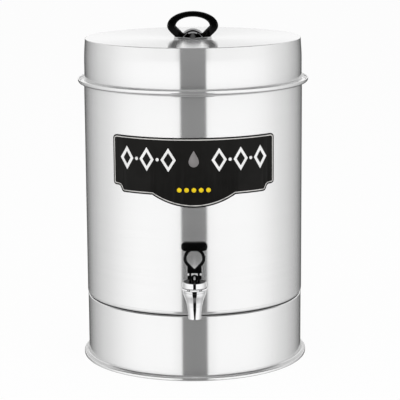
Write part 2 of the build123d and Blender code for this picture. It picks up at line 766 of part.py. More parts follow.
def lid_handle_loop():
    widest = DISH_TOP + LOOP_WIDEST_HEIGHT
    upper = LOOP_HEIGHT - LOOP_WIDEST_HEIGHT
    ring = egg(LOOP_HALF_WIDTH, upper, LOOP_LOWER_REACH)
    hole_half = LOOP_HALF_WIDTH - LOOP_SIDE_THICKNESS
    hole_low = -LOOP_WIDEST_HEIGHT - 1
    crown = EllipticalCenterArc(
        (0, 0), hole_half, upper - LOOP_TOP_THICKNESS, start_angle=0, arc_size=180
    )
    sides = Polyline(
        (-hole_half, 0),
        (-LOOP_HOLE_LOW_HALF_WIDTH, hole_low),
        (LOOP_HOLE_LOW_HALF_WIDTH, hole_low),
        (hole_half, 0),
    )
    ring -= make_face([crown, sides])
    keep = Pos(0, LOOP_HEIGHT / 2 - LOOP_WIDEST_HEIGHT) * Rectangle(
        3 * LOOP_HALF_WIDTH, LOOP_HEIGHT
    )
    loop = upright(ring & keep, LOOP_DEPTH / 2, 0, widest)
    long_edges = loop.edges().filter_by(GeomType.ELLIPSE)
    loop = chamfer(long_edges, LOOP_EDGE)
    puck = rod(PUCK_RADIUS, DISH_TOP, PUCK_TOP)
    bridge = Pos(0, 0, (DISH_TOP + PUCK_TOP) / 2) * Box(
        2 * PUCK_RADIUS, LOOP_DEPTH - 2 * LOOP_EDGE, PUCK_HEIGHT
    )
    hole = rod(LID_SCREW_RADIUS + SCREW_FIT, DISH_TOP - 1, PUCK_TOP + 1)
    cap_seat = rod(CAP_RADIUS + CAP_GAP, PUCK_TOP, PUCK_TOP + CAP_HEIGHT)
    return loop + puck + bridge - hole - cap_seat


def lid_handle_cap():
    """Chrome nut with an oval dome of flats, a straight edge and a blind hole for the screw."""
    crown = []
    for flat in range(CAP_FLATS + 1):
        slope = math.pi / 2 * flat / CAP_FLATS
        height = CAP_EDGE + (CAP_HEIGHT - CAP_EDGE) * math.sin(slope)
        crown.append((CAP_RADIUS * math.cos(slope), PUCK_TOP + height))
    cap = spun(outline((0, PUCK_TOP), (CAP_RADIUS, PUCK_TOP), *crown))
    return cap - rod(LID_SCREW_RADIUS + RUNNING_FIT, PUCK_TOP - 1, PUCK_TOP + LID_SCREW_GRIP)


def lid_handle_washer():
    low = LID_TOP - LID_SHEET - LID_WASHER_THICKNESS
    washer = rod(LID_WASHER_RADIUS, low, low + LID_WASHER_THICKNESS)
    return washer - rod(LID_SCREW_RADIUS + SCREW_FIT, low - 1, LID_TOP)


def lid_handle_screw():
    head_top = LID_TOP - LID_SHEET - LID_WASHER_THICKNESS
    head_low = head_top - LID_SCREW_HEAD_HEIGHT
    head = rod(LID_SCREW_HEAD_RADIUS, head_low, head_top)
    head = chamfer(head.edges().group_by(Axis.Z)[0], LID_SCREW_HEAD_HEIGHT / 3)
    shank = rod(LID_SCREW_RADIUS, head_top, PUCK_TOP + LID_SCREW_GRIP - SCREW_FIT)
    slot = Pos(0, 0, head_low) * Box(
        3 * LID_SCREW_HEAD_RADIUS, LID_SCREW_SLOT, LID_SCREW_HEAD_HEIGHT
    )
    return head + shank - slot


# ------------------------------------------------------------------ every node
PARTS = {
    "stand_shell": stand_shell(),
    "tank_wall": tank_wall(),
    "tank_floor": tank_floor(),
    "front_label": front_label(),
    "tap_body": tap_body(),
    "tap_gasket_outer": tap_gasket_outer(),
    "tap_gasket_inner": tap_gasket_inner(),
    "tap_lock_nut": tap_lock_nut(),
    "tap_bonnet": tap_bonnet(),
    "tap_bonnet_insert": tap_bonnet_insert(),
    "tap_stem": tap_stem(),
    "tap_seat_cup": tap_seat_cup(),
    "tap_spring": tap_spring(),
    "tap_lever": tap_lever(),
    "tap_pivot_pin": tap_pivot_pin(),
    "basket_rim": basket_rim(),
    "basket_cage": basket_cage(),
    "basket_mesh": basket_mesh(),
    "basket_floor": basket_floor(),
    "basket_floor_mesh": basket_floor_mesh(),
    "basket_lugs": basket_lugs(),
    "basket_handle_right": basket_handle(1),
    "basket_handle_left": basket_handle(-1),
    "lid_shell": lid_shell(),
    "lid_handle_dish": lid_handle_dish(),
    "lid_handle_loop": lid_handle_loop(),
    "lid_handle_cap": lid_handle_cap(),
    "lid_handle_washer": lid_handle_washer(),
    "lid_handle_screw": lid_handle_screw(),
}

os.makedirs("parts", exist_ok=True)
for name, shape in PARTS.items():
    export_step(shape, f"parts/{name}.step")
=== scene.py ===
import math

import bmesh
import bpy
from mathutils import Matrix, Vector


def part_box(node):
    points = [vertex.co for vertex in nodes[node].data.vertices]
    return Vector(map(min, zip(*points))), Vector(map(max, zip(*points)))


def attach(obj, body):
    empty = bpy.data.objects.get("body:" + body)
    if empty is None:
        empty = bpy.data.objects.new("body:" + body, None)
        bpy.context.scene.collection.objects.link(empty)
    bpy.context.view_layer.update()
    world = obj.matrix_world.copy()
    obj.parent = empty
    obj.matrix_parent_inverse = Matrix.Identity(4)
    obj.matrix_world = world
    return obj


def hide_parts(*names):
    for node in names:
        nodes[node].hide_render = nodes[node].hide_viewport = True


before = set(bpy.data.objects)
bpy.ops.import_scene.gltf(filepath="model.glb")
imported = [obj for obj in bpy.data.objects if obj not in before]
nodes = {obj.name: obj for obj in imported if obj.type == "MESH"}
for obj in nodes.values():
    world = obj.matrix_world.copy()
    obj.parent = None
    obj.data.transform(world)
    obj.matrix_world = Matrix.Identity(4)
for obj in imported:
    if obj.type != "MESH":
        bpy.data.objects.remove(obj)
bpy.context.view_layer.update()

MM = 0.001

# ---------------------------------------------------------------- sizes read from the frame
stand_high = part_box("stand_shell")[1]
base_low, base_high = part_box("tank_floor")
wall_low, wall_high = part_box("tank_wall")
lid_low, lid_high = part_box("lid_shell")
dish_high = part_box("lid_handle_dish")[1]
loop_low, loop_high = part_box("lid_handle_loop")
cap_low, cap_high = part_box("lid_handle_cap")
label_low, label_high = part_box("front_label")
spout_low, spout_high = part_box("tap_body")
bonnet_low, bonnet_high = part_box("tap_bonnet")
insert_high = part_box("tap_bonnet_insert")[1]
gasket_low, gasket_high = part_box("tap_gasket_outer")
flange_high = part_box("basket_rim")[1]

TANK_R = base_high.x
RIM_R = wall_high.x
FOOT_R = stand_high.x
SEAT_Z = stand_high.z
RIM_TOP = wall_high.z
LID_TOP = lid_high.z
LID_FLARE_R = lid_high.x
TAP_Y = (bonnet_low.y + bonnet_high.y) / 2
TAP_Z = (gasket_low.z + gasket_high.z) / 2

# Stations round a large and a small turned piece.
ROUND = 256
SMALL_ROUND = 96

SHEET = 0.8 * MM
SCREW_HOLE_R = 2.6 * MM


# ---------------------------------------------------------------- modelling helpers
def deselect():
    if bpy.context.object and bpy.context.object.mode == "EDIT":
        bpy.ops.object.mode_set(mode="OBJECT")
    bpy.ops.object.select_all(action="DESELECT")


def only(piece):
    deselect()
    piece.select_set(True)
    bpy.context.view_layer.objects.active = piece
    return piece


def edit(piece):
    only(piece)
    bpy.ops.object.mode_set(mode="EDIT")


def pick(test, kind="VERT"):
    """Select the points, edges or faces of the open mesh that pass the test."""
    mesh = bmesh.from_edit_mesh(bpy.context.object.data)
    bpy.ops.mesh.select_mode(type=kind)
    items = {"VERT": mesh.verts, "EDGE": mesh.edges, "FACE": mesh.faces}[kind]
    bpy.ops.mesh.select_all(action="DESELECT")
    for item in items:
        item.select = bool(test(item))
    mesh.select_flush_mode()
    bmesh.update_edit_mesh(bpy.context.object.data)


def near(place, reach=1e-5):
    place = Vector(place)
    return lambda point: (point.co - place).length < reach


def runs_across(edge):
    """Whether an edge stays at one depth."""
    first, second = edge.verts
    return abs(first.co.y - second.co.y) < 1e-6


def middle(edge):
    first, second = edge.verts
    return (first.co + second.co) / 2


def close_up(piece, angle=30.0):
    """Merge doubles, turn faces outward, leave edit mode and shade."""
    bpy.ops.mesh.select_all(action="SELECT")
    bpy.ops.mesh.remove_doubles(threshold=1e-6)
    bpy.ops.mesh.normals_make_consistent(inside=False)
    bpy.ops.object.mode_set(mode="OBJECT")
    only(piece)
    bpy.ops.object.shade_smooth_by_angle(angle=math.radians(angle))
    return piece


def settle(piece):
    """Put the piece's place, turn and size into its mesh."""
    only(piece)
    bpy.ops.object.transform_apply(location=True, rotation=True, scale=True)
    return piece


def modify(piece, kind, **settings):
    only(piece)
    modifier = piece.modifiers.new(kind.lower(), kind)
    for key, value in settings.items():
        setattr(modifier, key, value)
    bpy.ops.object.modifier_apply(modifier=modifier.name)
    return piece


def chain(name, points):
    """Draw a closed run of edges from one point, in edit mode."""
    deselect()
    bpy.ops.mesh.primitive_plane_add(size=0.001, location=(0, 0, 0))
    piece = bpy.context.object
    piece.name = name
    bpy.ops.object.mode_set(mode="EDIT")
    bpy.ops.mesh.select_mode(type="VERT")
    bpy.ops.mesh.select_all(action="SELECT")
    bpy.ops.mesh.merge(type="CENTER")
    bpy.ops.transform.translate(value=points[0])
    for here, there in zip(points, points[1:] + points[:1]):
        step = Vector(there) - Vector(here)
        bpy.ops.mesh.extrude_region_move(TRANSFORM_OT_translate={"value": step})
    bpy.ops.mesh.select_all(action="SELECT")
    bpy.ops.mesh.remove_doubles(threshold=1e-7)
    return piece


def push_through(piece, depth, angle):
    """Fill the drawn outline and give it a depth along Y."""
    bpy.ops.mesh.edge_face_add()
    bpy.ops.mesh.extrude_region_move(TRANSFORM_OT_translate={"value": (0, depth, 0)})
    return close_up(piece, angle)


def round_corners(points, roundings, segments):
    for point, rounding in zip(points, roundings):
        if rounding:
            pick(near(point))
            bpy.ops.mesh.bevel(
                offset=rounding, offset_type="OFFSET", segments=segments, affect="VERTICES")


SUPPORT = 0.3 * MM


def supported(corners):
    """Add a point beside each rounding, so that the shading of the flat next to it stays flat."""
    held = []
    for here, there in zip(corners, corners[1:] + corners[:1]):
        r, h, rounding = here
        next_r, next_h, next_rounding = there
        held.append(here)
        run = math.hypot(next_r - r, next_h - h)
        if run < rounding + next_rounding + 4 * SUPPORT:
            continue
        reaches = [rounding + SUPPORT] if rounding else []
        reaches += [run - next_rounding - SUPPORT] if next_rounding else []
        for reach in reaches:
            share = reach / run
            held.append((r + (next_r - r) * share, h + (next_h - h) * share, 0))
    return held


def turned(
        name, corners, centre=(0.0, 0.0, 0.0), along="Z", steps=ROUND, segments=5, angle=30.0):
    """Turn a closed section round an axis.  Corners are radius, height and rounding."""
    corners = supported(corners)
    if along == "Z":
        points = [(centre[0] + r, centre[1], h) for r, h, _ in corners]
        axis = (0, 0, 1)
    else:
        points = [(centre[0] + r, h, centre[2]) for r, h, _ in corners]
        axis = (0, 1, 0)
    piece = chain(name, points)
    round_corners(points, [c[2] for c in corners], segments)
    bpy.ops.mesh.select_all(action="SELECT")
    bpy.ops.mesh.spin(steps=steps, angle=2 * math.pi, center=centre, axis=axis)
    return close_up(piece, angle)


def join(name, *pieces):
    deselect()
    for piece in pieces:
        piece.select_set(True)
    bpy.context.view_layer.objects.active = pieces[0]
    bpy.ops.object.join()
    pieces[0].name = name
    return pieces[0]


def bar_along(axis, radius, length, location, vertices):
    """A round bar along X or Y, to cut a hole with."""
    turn = {"X": (0, math.pi / 2, 0), "Y": (math.pi / 2, 0, 0)}[axis]
    deselect()
    bpy.ops.mesh.primitive_cylinder_add(
        vertices=vertices, radius=radius, depth=length, location=location, rotation=turn)
    return bpy.context.object


def cut(piece, tool):
    """Take the tool's solid out of the piece."""
    modify(piece, "BOOLEAN", operation="DIFFERENCE", object=tool, solver="EXACT")
    bpy.data.objects.remove(tool)
    return piece


def place(piece, body, slot, material, *replaced):
    piece.data.materials.clear()
    piece.data.materials.append(material)
    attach(piece, body)
    if replaced:
        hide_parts(*replaced)
    return piece


# ---------------------------------------------------------------- finishes
def grey(level):
    return (level, level, level, 1.0)


def dimmed(colour, share):
    return tuple(part * share for part in colour[:3]) + (1.0,)


class Nodes:
    """A node tree, with helpers that add nodes to it and return an output."""

    def __init__(self, tree):
        self.tree = tree

    def node(self, kind, inputs=(), **settings):
        made = self.tree.nodes.new(kind)
        for key, value in settings.items():
            setattr(made, key, value)
        for index, value in dict(inputs).items():
            if isinstance(value, bpy.types.NodeSocket):
                self.tree.links.new(value, made.inputs[index])
            else:
                made.inputs[index].default_value = value
        return made

    def math(self, operation, first, second=0.0):
        made = self.node("ShaderNodeMath", {0: first, 1: second}, operation=operation)
        return made.outputs[0]

    def total(self, first, first_share, second, second_share):
        return self.math(
            "ADD", self.math("MULTIPLY", first, first_share),
            self.math("MULTIPLY", second, second_share))

    def noise(self, vector, scale, detail=2.0, rough=0.5):
        return self.node(
            "ShaderNodeTexNoise",
            {"Vector": vector, "Scale": scale, "Detail": detail, "Roughness": rough},
        ).outputs["Fac"]

    def spread(self, value, low, high, start=0.0, end=1.0):
        return self.node(
            "ShaderNodeMapRange", {0: value, 1: start, 2: end, 3: low, 4: high}
        ).outputs[0]

    def blend(self, value, first, second):
        return self.node(
            "ShaderNodeMix", {"Factor": value, 6: first, 7: second}, data_type="RGBA"
        ).outputs[2]

    def step(self, value, at, soft):
        """0 below the place and 1 above it, with a soft edge."""
        return self.spread(value, 0.0, 1.0, at - soft, at + soft)

    def between(self, value, low, high, soft):
        """1 between two places and 0 outside them, with soft edges."""
        below = self.math("SUBTRACT", 1.0, self.step(value, high, soft))
        return self.math("MULTIPLY", self.step(value, low, soft), below)


class Finish(Nodes):
    """A material with its shader ready."""

    def __init__(self, name, **sockets):
        self.material = bpy.data.materials.new(name)
        self.material.use_nodes = True
        super().__init__(self.material.node_tree)
        self.shader = self.tree.nodes["Principled BSDF"]
        for key, value in sockets.items():
            self.shader.inputs[key.replace("_", " ")].default_value = value

    def position(self):
        return self.node("ShaderNodeTexCoord").outputs["Object"]

    def parts(self):
        """The position's X, Y and Z, and its distance from the upright axis."""
        x, y, z = self.node("ShaderNodeSeparateXYZ", {0: self.position()}).outputs
        squares = self.math("ADD", self.math("POWER", x, 2.0), self.math("POWER", y, 2.0))
        return x, y, z, self.math("SQRT", squares)

    def bump(self, height, distance):
        made = self.node("ShaderNodeBump", {"Height": height, "Distance": distance})
        self.into("Normal", made.outputs[0])

    def into(self, socket, value):
        self.tree.links.new(value, self.shader.inputs[socket])


# Heights of the painted shadow in the joint between tank and stand.
JOINT_PAINTED_SHADE_LOW = SEAT_Z + 0.15 * MM
JOINT_PAINTED_SHADE_HIGH = SEAT_Z + 1.5 * MM
# Heights of the painted shade in the turn under the tank's rim.
RIM_PAINTED_SHADE_LOW = flange_high.z - 1.9 * MM
RIM_PAINTED_SHADE_HIGH = flange_high.z - 0.6 * MM
PAINTED_SHADE_EDGE = 0.1 * MM
BRUSH_LINES = 900.0
BRUSH_DRIFT = 1.0
CLOUD_SCALE = 9.0


def brushed_round(name, colour, roughness, aniso, mirror=0.75):
    """Stainless sheet: a mirror that blurs up and down, under the pale haze of its fine grain.

    Painted shade: a near-black band is painted where the tank meets the stand, standing in for the
    shadow in the joint, and a grey band is painted in the turn under the tank's rim.
    """
    finish = Finish(
        name, Base_Color=colour, Metallic=mirror, Anisotropic=aniso, Anisotropic_Rotation=0.25)
    x, y, z, radius = finish.parts()
    outward = finish.total(radius, BRUSH_LINES, x, BRUSH_DRIFT)
    upward = finish.total(z, BRUSH_LINES, y, BRUSH_DRIFT)
    brushing = finish.node("ShaderNodeCombineXYZ", {0: outward, 1: upward}).outputs[0]
    lines = finish.noise(brushing, 1.0, 3.0, 0.6)
    clouds = finish.noise(finish.position(), CLOUD_SCALE)
    grain = finish.total(lines, 0.7, clouds, 0.3)
    finish.into("Roughness", finish.spread(grain, roughness * 0.9, roughness * 1.1, 0.3, 0.7))
    worn = finish.blend(finish.spread(lines, 0.0, 1.0, 0.3, 0.7), dimmed(colour, 0.97), colour)
    # Painted shade: a grey band in the turn under the tank's rim.
    rim_painted_shade = finish.between(z, RIM_PAINTED_SHADE_LOW, RIM_PAINTED_SHADE_HIGH, PAINTED_SHADE_EDGE)
    # Painted shadow: a near-black band in the joint between tank and stand.
    joint_painted_shadow = finish.between(z, JOINT_PAINTED_SHADE_LOW, JOINT_PAINTED_SHADE_HIGH, PAINTED_SHADE_EDGE)
    shaded = finish.blend(rim_painted_shade, worn, grey(0.22))
    finish.into("Base Color", finish.blend(joint_painted_shadow, shaded, grey(0.002)))
    tangent = finish.node("ShaderNodeTangent", direction_type="RADIAL", axis="Z").outputs[0]
    finish.into("Tangent", tangent)
    return finish.material


HAZE_SCALE = 160.0
TINT_SCALE = 60.0


def polished(name, colour, roughness):
    """Bright metal with a faint, slightly warm haze."""
    finish = Finish(name, Base_Color=colour, Metallic=1.0, Roughness=roughness)
    haze = finish.noise(finish.position(), HAZE_SCALE, 3.0, 0.6)
    finish.into("Roughness", finish.spread(haze, roughness * 0.6, roughness * 1.6, 0.3, 0.7))
    red, green, blue = colour[:3]
    finish.into(
        "Base Color", finish.blend(haze, colour, (red * 0.96, green * 0.96, blue * 0.95, 1.0)))
    return finish.material


def moulded(name, colour, roughness, grain_size, grain_height, gloss=0.5):
    """Plastic, rubber or ink with a fine grain and a slow change of shade."""
    finish = Finish(name, Base_Color=colour, Roughness=roughness, Specular_IOR_Level=gloss)
    grain = finish.noise(finish.position(), 1.0 / grain_size, 3.0, 0.6)
    slow = finish.noise(finish.position(), TINT_SCALE)
    paler = tuple(min(1.0, c * 1.25 + 0.0002) for c in colour[:3]) + (1.0,)
    finish.into("Base Color", finish.blend(finish.spread(slow, 0.0, 1.0, 0.3, 0.7), colour, paler))
    finish.into("Roughness", finish.spread(grain, roughness * 0.85, roughness * 1.2, 0.3, 0.7))
    finish.bump(grain, grain_height)
    return finish.material


def woven(name, colour, pitch):
    """Fine wire cloth on an upright cylinder or a flat floor."""
    finish = Finish(name, Base_Color=colour, Metallic=1.0, Roughness=0.38)
    x, y, z, radius = finish.parts()

    def wires(distance):
        turns = finish.math("MULTIPLY", distance, math.pi / pitch)
        return finish.math("ABSOLUTE", finish.math("SINE", turns))

    around = finish.math("MULTIPLY", finish.math("ARCTAN2", y, x), TANK_R)
    cloth = finish.math("MULTIPLY", wires(around), wires(finish.math("ADD", z, radius)))
    shaded = finish.blend(finish.spread(cloth, 0.0, 1.0, 0.05, 0.5), dimmed(colour, 0.25), colour)
    finish.into("Base Color", shaded)
    finish.bump(cloth, 0.1 * MM)
    return finish.material


def ink(name, colour):
    return moulded(name, colour, 0.45, 0.4 * MM, 0.004 * MM, 0.2)


body_steel = brushed_round("steel_brushed_round", grey(0.98), 0.16, 0.9)
lid_steel = brushed_round("steel_brushed_lid", grey(0.98), 0.12, 0.8)
inner_steel = brushed_round("steel_inner", (0.80, 0.80, 0.79, 1), 0.33, 0.6, 0.45)
# Painted shade: a darker copy of the brushed steel for the basket's flange, which lies in the
# shade between the lid's hem and the tank's lip.
shelf_steel_painted_shade = brushed_round("steel_shelf_painted_shade", (0.62, 0.62, 0.61, 1), 0.33, 0.6, 0.6)
chrome = polished("chrome_plate", (0.97, 0.97, 0.98, 1), 0.03)
grey_chrome = polished("grey_chrome", (0.58, 0.58, 0.59, 1), 0.03)
bright_steel = polished("turned_steel", grey(0.78), 0.16)
black_plastic = moulded("black_plastic", grey(0.0006), 0.22, 0.6 * MM, 0.006 * MM, 0.3)
black_gloss = moulded("black_bakelite", grey(0.0006), 0.14, 4.0 * MM, 0.003 * MM)
silicone = moulded("silicone_pale", (0.55, 0.55, 0.53, 1), 0.5, 0.8 * MM, 0.02 * MM)
label_black = moulded(
    "label_black", (0.0095, 0.0092, 0.0087, 1), 0.42, 0.4 * MM, 0.004 * MM, 0.08)
label_line = ink("label_line", (0.60, 0.59, 0.57, 1))
label_white = ink("label_white", (0.82, 0.82, 0.81, 1))
label_grey = ink("label_grey", (0.22, 0.21, 0.21, 1))
label_yellow = ink("label_yellow", (0.90, 0.63, 0.01, 1))
wire_cloth = woven("wire_cloth", (0.62, 0.62, 0.61, 1), 1.1 * MM)


# ---------------------------------------------------------------- stand
STAND_SHEET = 1.0 * MM
STAND_R = TANK_R - 0.5 * MM
SEAT_HOLE_R = STAND_R - 16.5 * MM
SEAT_LIP = 6.0 * MM
BEAD_WIDE = 3.8 * MM
BEAD_HIGH = 4.6 * MM
FOOT_SHELF = 3.2 * MM
FOOT_BEND = 2.6 * MM
stand = turned("stand_body", [
    (STAND_R, SEAT_Z, 1.4 * MM),
    (STAND_R, FOOT_SHELF, FOOT_BEND),
    (FOOT_R - BEAD_WIDE + 0.5 * MM, FOOT_SHELF, 0),
    (FOOT_R - BEAD_WIDE + 0.3 * MM, BEAD_HIGH, 1.2 * MM),
    (FOOT_R, BEAD_HIGH, 1.7 * MM),
    (FOOT_R, 0, 1.7 * MM),
    (FOOT_R - BEAD_WIDE, 0, 1.2 * MM),
    (FOOT_R - BEAD_WIDE, FOOT_SHELF - STAND_SHEET, 0),
    (STAND_R - STAND_SHEET, FOOT_SHELF - STAND_SHEET, FOOT_BEND),
    (STAND_R - STAND_SHEET, SEAT_Z - STAND_SHEET, 0.5 * MM),
    (SEAT_HOLE_R + STAND_SHEET, SEAT_Z - STAND_SHEET, 0.5 * MM),
    (SEAT_HOLE_R + STAND_SHEET, SEAT_Z - SEAT_LIP, 0),
    (SEAT_HOLE_R, SEAT_Z - SEAT_LIP, 0),
    (SEAT_HOLE_R, SEAT_Z, 1.4 * MM),
])
place(stand, "stand", "stainless", body_steel, "stand_shell")

# ---------------------------------------------------------------- tank
SHELF_Z = flange_high.z - SHEET
SHELF_LOW = SHELF_Z - SHEET
WELD_Z = wall_low.z
HEM_WIDE = 1.5 * MM
HEM_HIGH = 1.8 * MM
TAP_HOLE_R = 8.2 * MM
tank = turned("tank_shell", [
    (TANK_R, WELD_Z, 0.15 * MM),
    (TANK_R, SHELF_LOW, 2.6 * MM),
    (RIM_R, SHELF_LOW, 3.2 * MM),
    (RIM_R, RIM_TOP, 0.2 * MM),
    (RIM_R - HEM_WIDE, RIM_TOP, 0.5 * MM),
    (RIM_R - HEM_WIDE, RIM_TOP - HEM_HIGH, 0.3 * MM),
    (RIM_R - SHEET, RIM_TOP - HEM_HIGH, 0),
    (RIM_R - SHEET, SHELF_Z, 2.4 * MM),
    (TANK_R - SHEET, SHELF_Z, 1.8 * MM),
    (TANK_R - SHEET, WELD_Z, 0),
])
cut(tank, bar_along("Y", TAP_HOLE_R, 2 * SHEET + 8 * MM, (0, -TANK_R, TAP_Z), 48))
place(tank, "tank", "stainless", body_steel, "tank_wall", "front_label")

PAN_R = SEAT_HOLE_R - 1.5 * MM
PAN_LOW = base_low.z
base = turned("tank_base", [
    (0, PAN_LOW, 0),
    (PAN_R, PAN_LOW, 1.6 * MM),
    (PAN_R, SEAT_Z, 1.0 * MM),
    (TANK_R, SEAT_Z, 4.5 * MM),
    (TANK_R, WELD_Z, 0.15 * MM),
    (TANK_R - SHEET, WELD_Z, 0),
    (TANK_R - SHEET, SEAT_Z + SHEET, 3.7 * MM),
    (PAN_R - SHEET, SEAT_Z + SHEET, 1.0 * MM),
    (PAN_R - SHEET, PAN_LOW + SHEET, 1.0 * MM),
    (0, PAN_LOW + SHEET, 0),
])
place(base, "tank", "stainless", body_steel, "tank_floor")

# ---------------------------------------------------------------- lid
LID_R = TANK_R - 0.5 * MM
LID_CORNER = 0.5 * MM
LID_NARROW = 1.3 * MM
LID_BEND_Z = LID_TOP - 20.0 * MM
HEM_LOW = lid_low.z
DISH_R = dish_high.x
LID_EDGE_Z = LID_TOP - 0.6 * MM
LID_SEAT_Z = LID_TOP - 1.7 * MM
LID_SEAT_R = DISH_R + 2 * MM
lid = turned("lid_body", [
    (0, LID_SEAT_Z - SHEET, 0),
    (LID_SEAT_R, LID_SEAT_Z - SHEET, 0),
    (LID_R - LID_NARROW - SHEET, LID_EDGE_Z - SHEET, 0.4 * MM),
    (LID_R - SHEET, LID_BEND_Z, 6.0 * MM),
    (LID_R - SHEET, HEM_LOW, 0.4 * MM),
    (LID_FLARE_R, HEM_LOW, 0.35 * MM),
    (LID_FLARE_R, HEM_LOW + SHEET, 0.35 * MM),
    (LID_R, HEM_LOW + SHEET, 1.0 * MM),
    (LID_R, LID_BEND_Z, 6.0 * MM),
    (LID_R - LID_NARROW, LID_EDGE_Z, LID_CORNER),
    (LID_SEAT_R, LID_SEAT_Z, 0),
    (0, LID_SEAT_Z, 0),
], segments=8)
place(lid, "lid", "stainless", lid_steel, "lid_shell")

DISH_TOP = LID_SEAT_Z + 2.3 * MM
dish = turned("lid_handle_plate", [
    (SCREW_HOLE_R, LID_SEAT_Z, 0),
    (DISH_R - 0.3 * MM, LID_SEAT_Z, 0.1 * MM),
    (DISH_R, LID_SEAT_Z + 0.9 * MM, 0.8 * MM),
    (DISH_R - 0.1 * MM, LID_SEAT_Z + 1.8 * MM, 0.5 * MM),
    (DISH_R - 0.55 * MM, DISH_TOP, 0.25 * MM),
    (DISH_R - 0.9 * MM, DISH_TOP - 0.2 * MM, 0.2 * MM),
    (DISH_R - 1.7 * MM, LID_SEAT_Z + SHEET, 0.5 * MM),
    (SCREW_HOLE_R, LID_SEAT_Z + SHEET, 0),
], steps=SMALL_ROUND)
place(dish, "lid", "stainless", grey_chrome, "lid_handle_dish")

# Loop: a flat arch with rounded edges, whose feet stand round the dome.
LOOP_FLAT = LID_SEAT_Z + SHEET
LOOP_MID = loop_low.z + 11.2 * MM
LOOP_OUT_X = loop_high.x
LOOP_OUT_UP = loop_high.z - LOOP_MID
LOOP_OUT_DOWN = 18.3 * MM
LOOP_TUCK = 2.0 * MM
LOOP_TUCK_SHARE = 0.6
LOOP_OUT_STEPS = 72
LOOP_IN_STEPS = 48
LOOP_IN_X = LOOP_OUT_X - 9.8 * MM
LOOP_IN_UP = LOOP_OUT_UP - 6.3 * MM
LOOP_FOOT_IN_X = 10.6 * MM
LOOP_KNEE_Z = LOOP_FLAT + 4.2 * MM
LOOP_HALF_DEEP = 3.4 * MM
LOOP_ROUND = 1.6 * MM
PUCK_R = 12.0 * MM
PUCK_TOP = cap_low.z
CAP_R = cap_high.x
CAP_PLAY = 0.2 * MM
CAP_SINK = 2.0 * MM
CAP_TOP = cap_high.z - 0.9 * MM


def loop_arch():
    """Draw the arch's front as one face, push it through and round its long edges."""
    half_sweep = math.pi / 2 + math.asin((LOOP_MID - LOOP_FLAT) / LOOP_OUT_DOWN)
    outside, inside = [], []
    for step in range(LOOP_OUT_STEPS + 1):
        angle = math.pi / 2 + half_sweep * (2 * step / LOOP_OUT_STEPS - 1)
        reach = LOOP_OUT_UP if math.sin(angle) > 0 else LOOP_OUT_DOWN
        down = min(1.0, max(0.0, -math.sin(angle)) / LOOP_TUCK_SHARE)
        tuck = math.copysign(LOOP_TUCK * down * down * (3 - 2 * down), math.cos(angle))
        outside.append(
            (LOOP_OUT_X * math.cos(angle) - tuck, LOOP_MID + reach * math.sin(angle)))
    for step in range(LOOP_IN_STEPS + 1):
        angle = math.pi * (1 - step / LOOP_IN_STEPS)
        inside.append((LOOP_IN_X * math.cos(angle), LOOP_MID + LOOP_IN_UP * math.sin(angle)))
    front = outside
    front += [(-LOOP_FOOT_IN_X, LOOP_FLAT), (-LOOP_FOOT_IN_X, LOOP_KNEE_Z)]
    front += inside
    front += [(LOOP_FOOT_IN_X, LOOP_KNEE_Z), (LOOP_FOOT_IN_X, LOOP_FLAT)]
    arch = chain("lid_handle_arch", [(x, LOOP_HALF_DEEP, z) for x, z in front])
    push_through(arch, -2 * LOOP_HALF_DEEP, 30.0)
    edit(arch)
    pick(lambda edge: runs_across(edge) and middle(edge).z > LOOP_FLAT + 1e-6, "EDGE")
    bpy.ops.mesh.bevel(offset=LOOP_ROUND, segments=5, affect="EDGES", clamp_overlap=False)
    return close_up(arch, 40.0)


def dome(radius, foot, top, steps=18):
    """Corners of an oval cap whose widest place lies a little below its foot."""
    rise = top - foot + CAP_SINK
    start = math.asin(CAP_SINK / rise)
    widest = radius / math.cos(start)
    corners = [(0, foot, 0)]
    for step in range(steps):
        angle = start + (math.pi / 2 - start) * step / steps
        corners.append((widest * math.cos(angle), foot - CAP_SINK + rise * math.sin(angle), 0))
    return corners + [(0, top, 0)]


def loop_seat(arch):
    """Clear the feet round the dome."""
    room = dome(CAP_R + CAP_PLAY, LOOP_FLAT - CAP_PLAY, CAP_TOP + CAP_PLAY)
    return cut(arch, turned("dome_room", room, steps=SMALL_ROUND))


def loop_bridge():
    """The strip under the dome that joins the feet."""
    deselect()
    bpy.ops.mesh.primitive_cube_add(size=1.0, location=(0, 0, (LOOP_FLAT + PUCK_TOP) / 2))
    bridge = bpy.context.object
    bridge.scale = (2 * PUCK_R + 4 * MM, 2 * LOOP_HALF_DEEP - 4 * MM, PUCK_TOP - LOOP_FLAT)
    settle(bridge)
    return modify(bridge, "BEVEL", width=0.2 * MM, segments=3)


grip = loop_seat(loop_arch())
puck = turned("lid_handle_puck", [
    (SCREW_HOLE_R, LOOP_FLAT, 0),
    (PUCK_R, LOOP_FLAT, 0.2 * MM),
    (PUCK_R, PUCK_TOP, 0.2 * MM),
    (SCREW_HOLE_R, PUCK_TOP, 0),
], steps=SMALL_ROUND)
grip = join("lid_handle_grip", grip, puck, loop_bridge())
place(grip, "lid", "black_bakelite", black_gloss, "lid_handle_loop")

cap = turned(
    "lid_handle_dome", dome(CAP_R, LOOP_FLAT, CAP_TOP), steps=SMALL_ROUND, angle=45.0)
place(cap, "lid", "chrome", grey_chrome, "lid_handle_cap")

